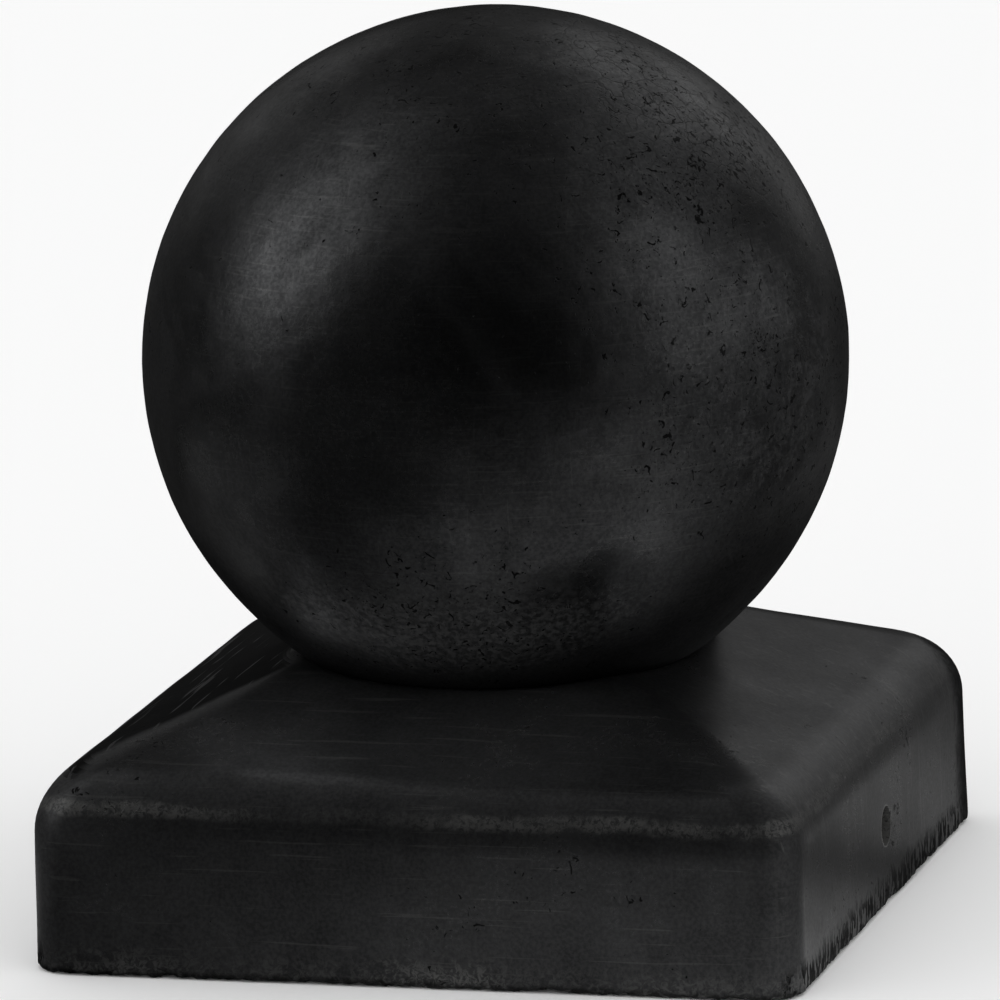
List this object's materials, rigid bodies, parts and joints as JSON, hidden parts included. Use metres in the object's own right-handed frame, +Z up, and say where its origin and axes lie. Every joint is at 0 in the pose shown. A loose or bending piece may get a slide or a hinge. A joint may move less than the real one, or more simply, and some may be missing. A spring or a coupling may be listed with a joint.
{
  "type": "fence post cap with ball finial",
  "caption": "Square pressed-steel cap for a fence post, with a low four-sided roof and a hollow steel ball welded into a round seat on top.",
  "frame": {"origin": "centre of the cap's rim, on the surface that the cap stands on", "axes": "+Z up through the ball, along the post's axis; +X and -X through the two screw holes; +Y through a plain side"},
  "size_m": [0.094, 0.094, 0.1084],
  "materials": {
    "cap_steel": "black finish over hot-dipped pressed steel, satin, scratched, with a rough coated rim",
    "ball_steel": "black finish over hot-dipped steel, semi-gloss, cloudy, with fine pits",
    "weld_metal": "as-welded ripples under the same black finish"
  },
  "bodies": {
    "root": {"cap_shell": "cap_steel", "ball_upper_half": "ball_steel", "ball_lower_half": "ball_steel", "ball_seam_weld": "ball_steel", "seat_weld": "weld_metal"}
  },
  "joints": []
}
